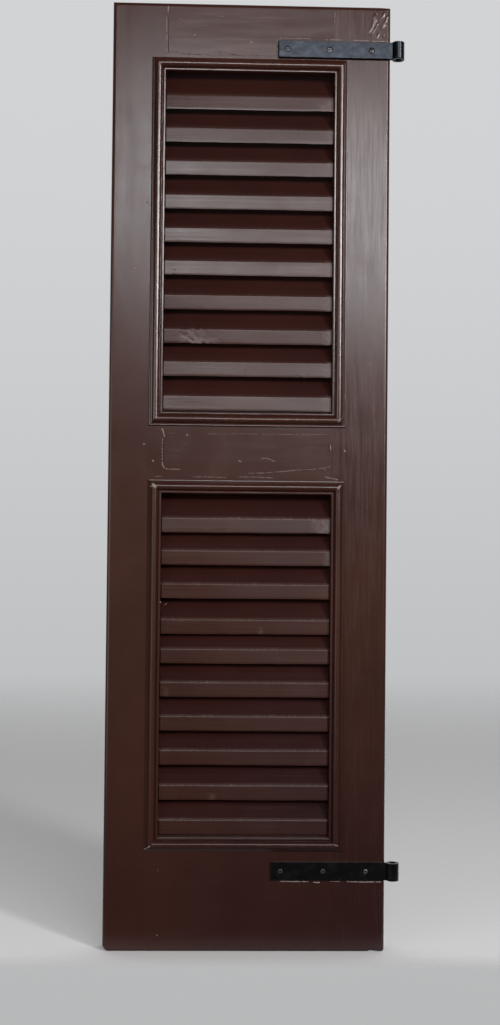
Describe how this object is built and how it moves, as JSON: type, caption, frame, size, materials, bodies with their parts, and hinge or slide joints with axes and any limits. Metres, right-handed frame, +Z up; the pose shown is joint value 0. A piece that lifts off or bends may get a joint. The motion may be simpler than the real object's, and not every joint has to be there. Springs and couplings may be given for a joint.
{
  "type": "louvred window shutter",
  "caption": "Tall painted wooden shutter leaf with two openings of fixed sloping slats, beaded mouldings and iron strap hinges that drop over wall pins.",
  "frame": {"origin": "on the hinge axis, at the underside of the lower hinge eye, which sits on the lower wall pin's shoulder", "axes": "+Z up along the hinge axis, +X towards the hinge side so that the leaf lies at -X, -Y the front face with the mouldings and straps, +Y the back"},
  "size_m": [0.4392, 0.0452, 1.418],
  "materials": {
    "frame_wood": "gloss paint, worn",
    "slat_wood": "gloss paint, worn",
    "moulding_wood": "gloss paint, rubbed edges",
    "wedge_wood": "gloss paint",
    "strap_iron": "black paint, satin",
    "screw_steel": "blackened"
  },
  "bodies": {
    "root": {"bottom_rail": "frame_wood", "bottom_rail_left_lower_wedge": "wedge_wood", "bottom_rail_left_upper_wedge": "wedge_wood", "bottom_rail_right_lower_wedge": "wedge_wood", "bottom_rail_right_upper_wedge": "wedge_wood", "left_stile": "frame_wood", "lower_hinge_screw_1": "screw_steel", "lower_hinge_screw_2": "screw_steel", "lower_hinge_screw_3": "screw_steel", "lower_moulding_bottom": "moulding_wood", "lower_moulding_left": "moulding_wood", "lower_moulding_right": "moulding_wood", "lower_moulding_top": "moulding_wood", "lower_slat_01": "slat_wood", "lower_slat_02": "slat_wood", "lower_slat_03": "slat_wood", "lower_slat_04": "slat_wood", "lower_slat_05": "slat_wood", "lower_slat_06": "slat_wood", "lower_slat_07": "slat_wood", "lower_slat_08": "slat_wood", "lower_slat_09": "slat_wood", "lower_slat_10": "slat_wood", "lower_strap_hinge": "strap_iron", "mid_rail": "frame_wood", "mid_rail_left_lower_wedge": "wedge_wood", "mid_rail_left_upper_wedge": "wedge_wood", "mid_rail_right_lower_wedge": "wedge_wood", "mid_rail_right_upper_wedge": "wedge_wood", "right_stile": "frame_wood", "top_rail": "frame_wood", "top_rail_left_lower_wedge": "wedge_wood", "top_rail_left_upper_wedge": "wedge_wood", "top_rail_right_lower_wedge": "wedge_wood", "top_rail_right_upper_wedge": "wedge_wood", "upper_hinge_screw_1": "screw_steel", "upper_hinge_screw_2": "screw_steel", "upper_hinge_screw_3": "screw_steel", "upper_moulding_bottom": "moulding_wood", "upper_moulding_left": "moulding_wood", "upper_moulding_right": "moulding_wood", "upper_moulding_top": "moulding_wood", "upper_slat_01": "slat_wood", "upper_slat_02": "slat_wood", "upper_slat_03": "slat_wood", "upper_slat_04": "slat_wood", "upper_slat_05": "slat_wood", "upper_slat_06": "slat_wood", "upper_slat_07": "slat_wood", "upper_slat_08": "slat_wood", "upper_slat_09": "slat_wood", "upper_slat_10": "slat_wood", "upper_strap_hinge": "strap_iron"}
  },
  "joints": []
}
